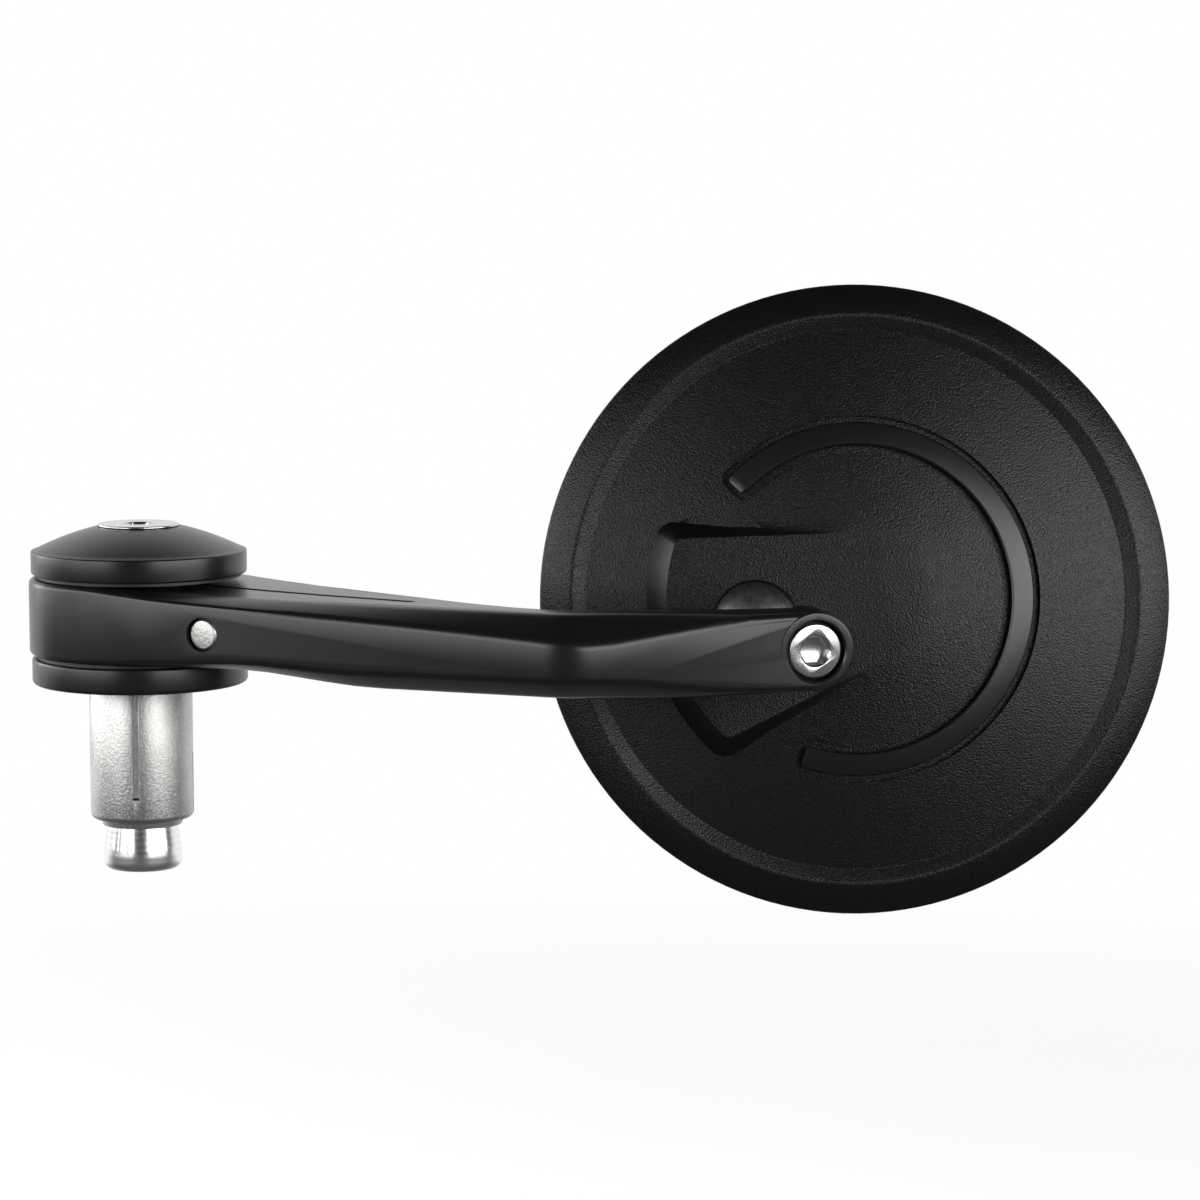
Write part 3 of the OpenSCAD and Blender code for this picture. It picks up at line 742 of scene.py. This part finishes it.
@dataclass
class Studio:
    """Floor, backdrop, lamps and camera."""

    eye: tuple[float, float, float] = (0.0710, -0.5972, 0.0838)
    pitch: float = 6.8
    lens: float = 117.0
    sensor: float = 36.0
    floor: float = -0.16
    floor_size: float = 6.0
    floor_cloud: float = 0.05
    floor_dark: Colour = (0.90, 0.90, 0.90)
    floor_light: Colour = (0.92, 0.92, 0.92)
    floor_roughness: float = 0.9
    floor_glow: float = 0.62
    shadow_reach: float = 0.35
    shadow_fade: float = 3.0
    behind_fade: float = 2.5
    white: float = 1.0
    fill: float = 0.04
    front: float = 0.10
    backdrop_side: float = 0.15
    backdrop_side_fade: float = 3.0
    backdrop_top: float = 0.9
    backdrop_top_fade: float = 3.5
    lamp_target: tuple[float, float, float] = (0.07, 0.0, 0.01)
    lamp_distance: float = 0.85
    boxes: tuple[SoftBox, ...] = (
        SoftBox("left_box", -50.0, 10.0, (0.80, 0.36), 4.2),
        SoftBox("far_left_box", -104.0, 10.0, (0.80, 0.36), 4.2),
        SoftBox("right_box", 49.0, 10.0, (1.05, 0.36), 5.5))

    def world(self) -> None:
        """A background that the camera sees as white, with a white backdrop behind the object in its reflections."""
        world = bpy.data.worlds.new("studio")
        bpy.context.scene.world = world
        world.use_nodes = True
        s = Tree(world.node_tree)
        path = s.node("ShaderNodeLightPath", {}, {})
        way = s.node("ShaderNodeSeparateXYZ", {}, {0: s.node("ShaderNodeTexCoord", {}, {}).outputs["Generated"]})
        behind = ((Num(s, way.outputs["Y"]) - self.backdrop_side) * self.backdrop_side_fade).clamped()
        low = ((self.backdrop_top - Num(s, way.outputs["Z"])) * self.backdrop_top_fade).clamped()
        mirrored = Num(s, path.outputs["Is Glossy Ray"]) * behind * low + Num(s, path.outputs["Is Transmission Ray"])
        seen = (mirrored + Num(s, path.outputs["Is Camera Ray"])).clamped()
        lit = s.node("ShaderNodeBackground", {}, {"Color": WHITE, "Strength": self.fill})
        white = s.node("ShaderNodeBackground", {}, {"Color": WHITE, "Strength": self.white})
        mix = s.node("ShaderNodeMixShader", {}, {0: seen, 1: lit.outputs[0], 2: white.outputs[0]})
        s.node("ShaderNodeOutputWorld", {}, {"Surface": mix.outputs[0]})

    def ground(self) -> None:
        """A pale floor that keeps the object's shadow, plain white further off and dim in front in reflections."""
        pick_nothing()
        bpy.ops.mesh.primitive_plane_add(size=self.floor_size, location=(0, 0, self.floor))
        floor = bpy.context.object
        floor.name = "floor"
        s = Shade("pale_floor")
        cloud = s.noise(self.floor_cloud, 2.0)
        floor.data.materials.append(s.finished(
            Base_Color=s.tint(cloud, self.floor_dark, self.floor_light), Roughness=self.floor_roughness))
        path = s.node("ShaderNodeLightPath", {}, {})
        glow = s.node("ShaderNodeEmission", {}, {"Color": WHITE, "Strength": self.floor_glow})
        both = s.node("ShaderNodeAddShader", {}, {0: s.shader.outputs[0], 1: glow.outputs[0]})
        plain = s.node("ShaderNodeEmission", {}, {"Color": WHITE, "Strength": self.white})
        far = s.node("ShaderNodeVectorMath", {"operation": "LENGTH"}, {0: s.place})
        fade = ((Num(s, far.outputs["Value"]) - self.shadow_reach) * self.shadow_fade).clamped()
        pale = s.node("ShaderNodeMixShader", {}, {0: fade, 1: both.outputs[0], 2: plain.outputs[0]})
        spot = s.node("ShaderNodeSeparateXYZ", {}, {0: s.place})
        behind = (Num(s, spot.outputs["Y"]) * self.behind_fade).clamped()
        mirrored = Num(s, path.outputs["Is Glossy Ray"]) * behind + Num(s, path.outputs["Is Transmission Ray"])
        seen = (mirrored + Num(s, path.outputs["Is Camera Ray"])).clamped()
        stage = s.node("ShaderNodeMixShader", {}, {0: seen, 1: s.shader.outputs[0], 2: pale.outputs[0]})
        dim = s.node("ShaderNodeEmission", {}, {"Color": WHITE, "Strength": self.front})
        before = Num(s, path.outputs["Is Glossy Ray"]) * (1 - behind)
        mix = s.node("ShaderNodeMixShader", {}, {0: before, 1: stage.outputs[0], 2: dim.outputs[0]})
        for node in s.tree.nodes:
            if node.type == "OUTPUT_MATERIAL":
                s.tree.links.new(mix.outputs[0], node.inputs[0])

    def lamps(self) -> None:
        """Adds the soft boxes, left and right of the camera."""
        for box in self.boxes:
            box.build(Vector(self.lamp_target), self.lamp_distance)

    def camera(self) -> None:
        """The camera at the photograph's angle."""
        data = bpy.data.cameras.new("photo_camera")
        data.lens = self.lens
        data.sensor_width = self.sensor
        data.sensor_fit = "HORIZONTAL"
        camera = bpy.data.objects.new("photo_camera", data)
        bpy.context.scene.collection.objects.link(camera)
        camera.location = self.eye
        camera.rotation_euler = Euler((math.radians(90 - self.pitch), 0.0, 0.0))
        bpy.context.scene.camera = camera

    def build(self) -> None:
        """Sets the colour view and builds the whole studio."""
        bpy.context.scene.view_settings.view_transform = "Standard"
        self.world()
        self.ground()
        self.lamps()
        self.camera()


def dress_nodes(paint: Paintbox) -> None:
    """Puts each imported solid's finish on it, by the record.

    Args:
        paint: where the finishes come from.
    """
    for part in frame["record"]["subparts"]:
        paint.dress(frame["nodes"][part["node"]], Finish(part["material_slot"]))


def plain(box: Iterable[Iterable[float]]) -> list[list[float]]:
    """A box as plain lists of numbers."""
    return [[float(v) for v in corner] for corner in box]


def main() -> None:
    logging.basicConfig(level=logging.INFO, format="%(name)s %(message)s")
    paint = Paintbox()
    dress_nodes(paint)
    for assembly in (Hub(), Plug(), ArmUnit(), Head()):
        for piece in assembly.build(paint):
            LOG.info("%s: %d faces", piece.name, len(piece.data.polygons))
    Studio().build()


if __name__ == "__main__":
    main()
